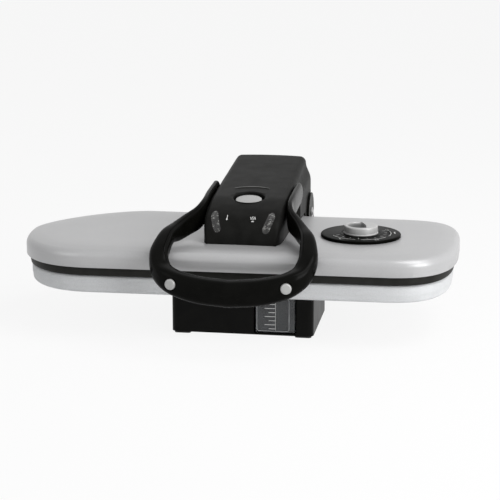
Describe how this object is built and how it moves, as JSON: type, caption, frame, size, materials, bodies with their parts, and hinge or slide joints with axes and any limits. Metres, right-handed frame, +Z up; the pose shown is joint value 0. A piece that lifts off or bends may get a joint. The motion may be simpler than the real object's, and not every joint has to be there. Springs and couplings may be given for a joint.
{
  "type": "steam ironing press",
  "caption": "Tabletop steam ironing press: long heated platen on a hinged arm over a padded board, with loop handle, temperature dial, steam button and slide-out water tank.",
  "frame": {"origin": "on the table under the middle of the closed press", "axes": "+X along the board to the side with the dial, +Y to the hinge at the back, +Z up"},
  "size_m": [0.645, 0.45, 0.2165],
  "materials": {
    "satin_grey_shell": "satin",
    "charcoal_plastic": "satin",
    "black_gloss": "gloss",
    "black_matte": "matte",
    "silver_trim": "satin",
    "steel": "satin",
    "aluminium": "satin",
    "pad_fabric": "matte",
    "pad_foam": "matte",
    "smoky_clear": "gloss",
    "black_rubber": "matte",
    "brass": "satin",
    "circuit_board": "satin",
    "lamp_lens": "gloss"
  },
  "bodies": {
    "base": {"base_housing": "black_matte", "base_plate": "steel", "foot_front_left": "black_rubber", "foot_front_right": "black_rubber", "foot_rear_left": "black_rubber", "foot_rear_right": "black_rubber", "board_riser": "black_matte", "board_pan": "steel", "foam_pad": "pad_foam", "pad_cover": "pad_fabric", "hinge_pin": "steel", "hinge_clip_left": "steel", "hinge_clip_right": "steel", "lift_spring_left": "steel", "lift_spring_right": "steel", "cord_gland": "black_rubber", "pump_body": "steel", "valve_socket": "black_matte", "pump_hose": "black_rubber", "tank_rail_left": "black_matte", "tank_rail_right": "black_matte"},
    "tank": {"water_tank": "smoky_clear", "tank_lid": "smoky_clear", "fill_plug": "black_rubber", "tank_valve": "black_rubber"},
    "arm": {"arm_frame": "steel", "hinge_bush_left": "brass", "hinge_bush_right": "brass", "hood_cover": "charcoal_plastic", "rear_housing": "charcoal_plastic", "lamp_left": "lamp_lens", "lamp_right": "lamp_lens", "platen_shell": "satin_grey_shell", "sole_skirt": "black_matte", "soleplate": "aluminium", "heating_element": "steel", "platen_mount": "aluminium", "dial_disc": "black_gloss", "thermostat": "black_matte", "control_board": "circuit_board", "steam_switch": "black_matte", "steam_button_spring": "steel"},
    "dial": {"dial_knob": "silver_trim"},
    "steam_key": {"steam_button": "silver_trim"},
    "handle": {"handle_outer": "black_gloss", "handle_inner": "black_gloss", "handle_shaft": "steel", "button_spring_left": "steel", "button_spring_right": "steel"},
    "left_key": {"button_left": "silver_trim"},
    "right_key": {"button_right": "silver_trim"}
  },
  "joints": [
    {"name": "press_open", "type": "hinge", "parent": "base", "child": "arm", "pos_m": [0.013, 0.188, 0.128], "axis": [-1, 0, 0], "range_deg": [0, 45]},
    {"name": "handle_swing", "type": "hinge", "parent": "arm", "child": "handle", "pos_m": [0.013, 0.05, 0.185], "axis": [-1, 0, 0], "range_deg": [0, 28]},
    {"name": "dial_turn", "type": "hinge", "parent": "arm", "child": "dial", "pos_m": [0.1785, -0.018, 0.139], "axis": [0, 0, 1], "range_deg": [0, 270]},
    {"name": "steam_press", "type": "slide", "parent": "arm", "child": "steam_key", "axis": [0, 0.1208, -0.9927], "range_m": [0, 0.0025], "stiffness_N_per_m": 400, "springref_m": -0.002, "deforming": ["steam_button_spring"]},
    {"name": "left_button_press", "type": "slide", "parent": "handle", "child": "left_key", "axis": [0.245, 0.9695, 0], "range_m": [0, 0.0025], "stiffness_N_per_m": 400, "springref_m": -0.002, "deforming": ["button_spring_left"]},
    {"name": "right_button_press", "type": "slide", "parent": "handle", "child": "right_key", "axis": [-0.245, 0.9695, 0], "range_m": [0, 0.0025], "stiffness_N_per_m": 400, "springref_m": -0.002, "deforming": ["button_spring_right"]},
    {"name": "tank_slide", "type": "slide", "parent": "base", "child": "tank", "axis": [0, -1, 0], "range_m": [0, 0.13]}
  ]
}
